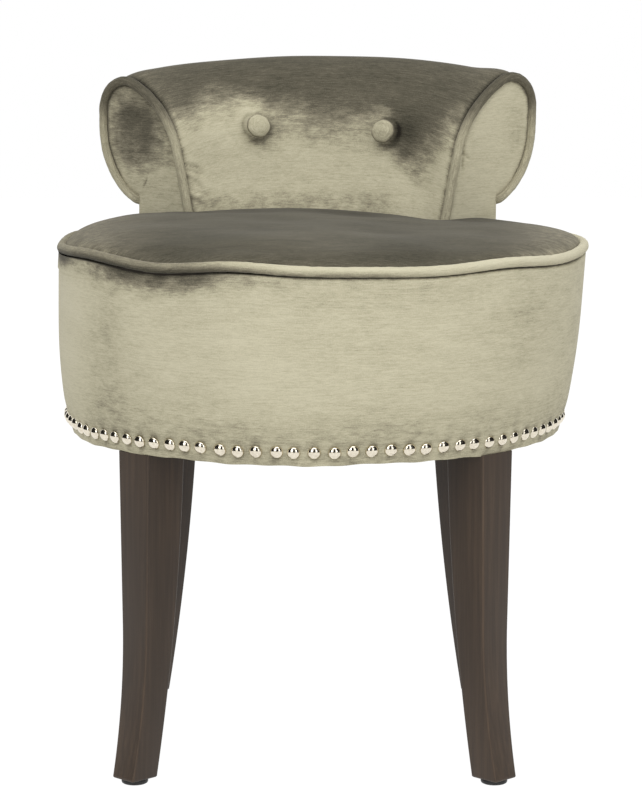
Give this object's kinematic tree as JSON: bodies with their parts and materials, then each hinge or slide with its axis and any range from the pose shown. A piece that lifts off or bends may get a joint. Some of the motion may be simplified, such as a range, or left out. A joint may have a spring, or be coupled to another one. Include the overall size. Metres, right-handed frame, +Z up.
{
  "type": "vanity stool",
  "caption": "Round upholstered vanity stool with a low scroll back, crowned piped seat, button-tufted inside back, nailhead trim at the hem and sabre legs on glides.",
  "frame": {"origin": "on the floor under the middle of the whole stool", "axes": "+Z up from the floor, +Y towards the back, +X to the sitter's left as seen from the front of the stool: the sitter faces -Y"},
  "size_m": [0.4912, 0.532, 0.634],
  "materials": {
    "velvet": "crushed velvet, taupe, dark along the nap and pale across it",
    "leg_wood": "espresso stain under a satin lacquer",
    "nail_metal": "polished nickel",
    "glide": "black moulded plastic",
    "plywood": "bare plywood",
    "fibreboard": "bare bent fibreboard",
    "dust_cloth": "black non-woven cloth",
    "steel": "zinc-plated"
  },
  "bodies": {
    "root": {"leg_rear_right": "leg_wood", "leg_rear_left": "leg_wood", "leg_front_left": "leg_wood", "leg_front_right": "leg_wood", "glides": "glide", "hanger_bolts": "steel", "seat_base_ring": "plywood", "seat_uprights": "plywood", "seat_deck": "plywood", "seat_band": "fibreboard", "dust_cover": "dust_cloth", "seat_side_pad": "velvet", "seat_cushion": "velvet", "seat_piping": "velvet", "nailheads": "nail_metal", "back_liner": "fibreboard", "back_lower_rail": "plywood", "back_roll_rail": "plywood", "back_outer_board": "fibreboard", "inside_back": "velvet", "outside_back": "velvet", "back_buttons": "velvet", "back_post_right": "plywood", "back_post_left": "plywood", "end_panel_right": "velvet", "end_panel_left": "velvet", "end_piping_right": "velvet", "end_piping_left": "velvet"}
  },
  "joints": []
}
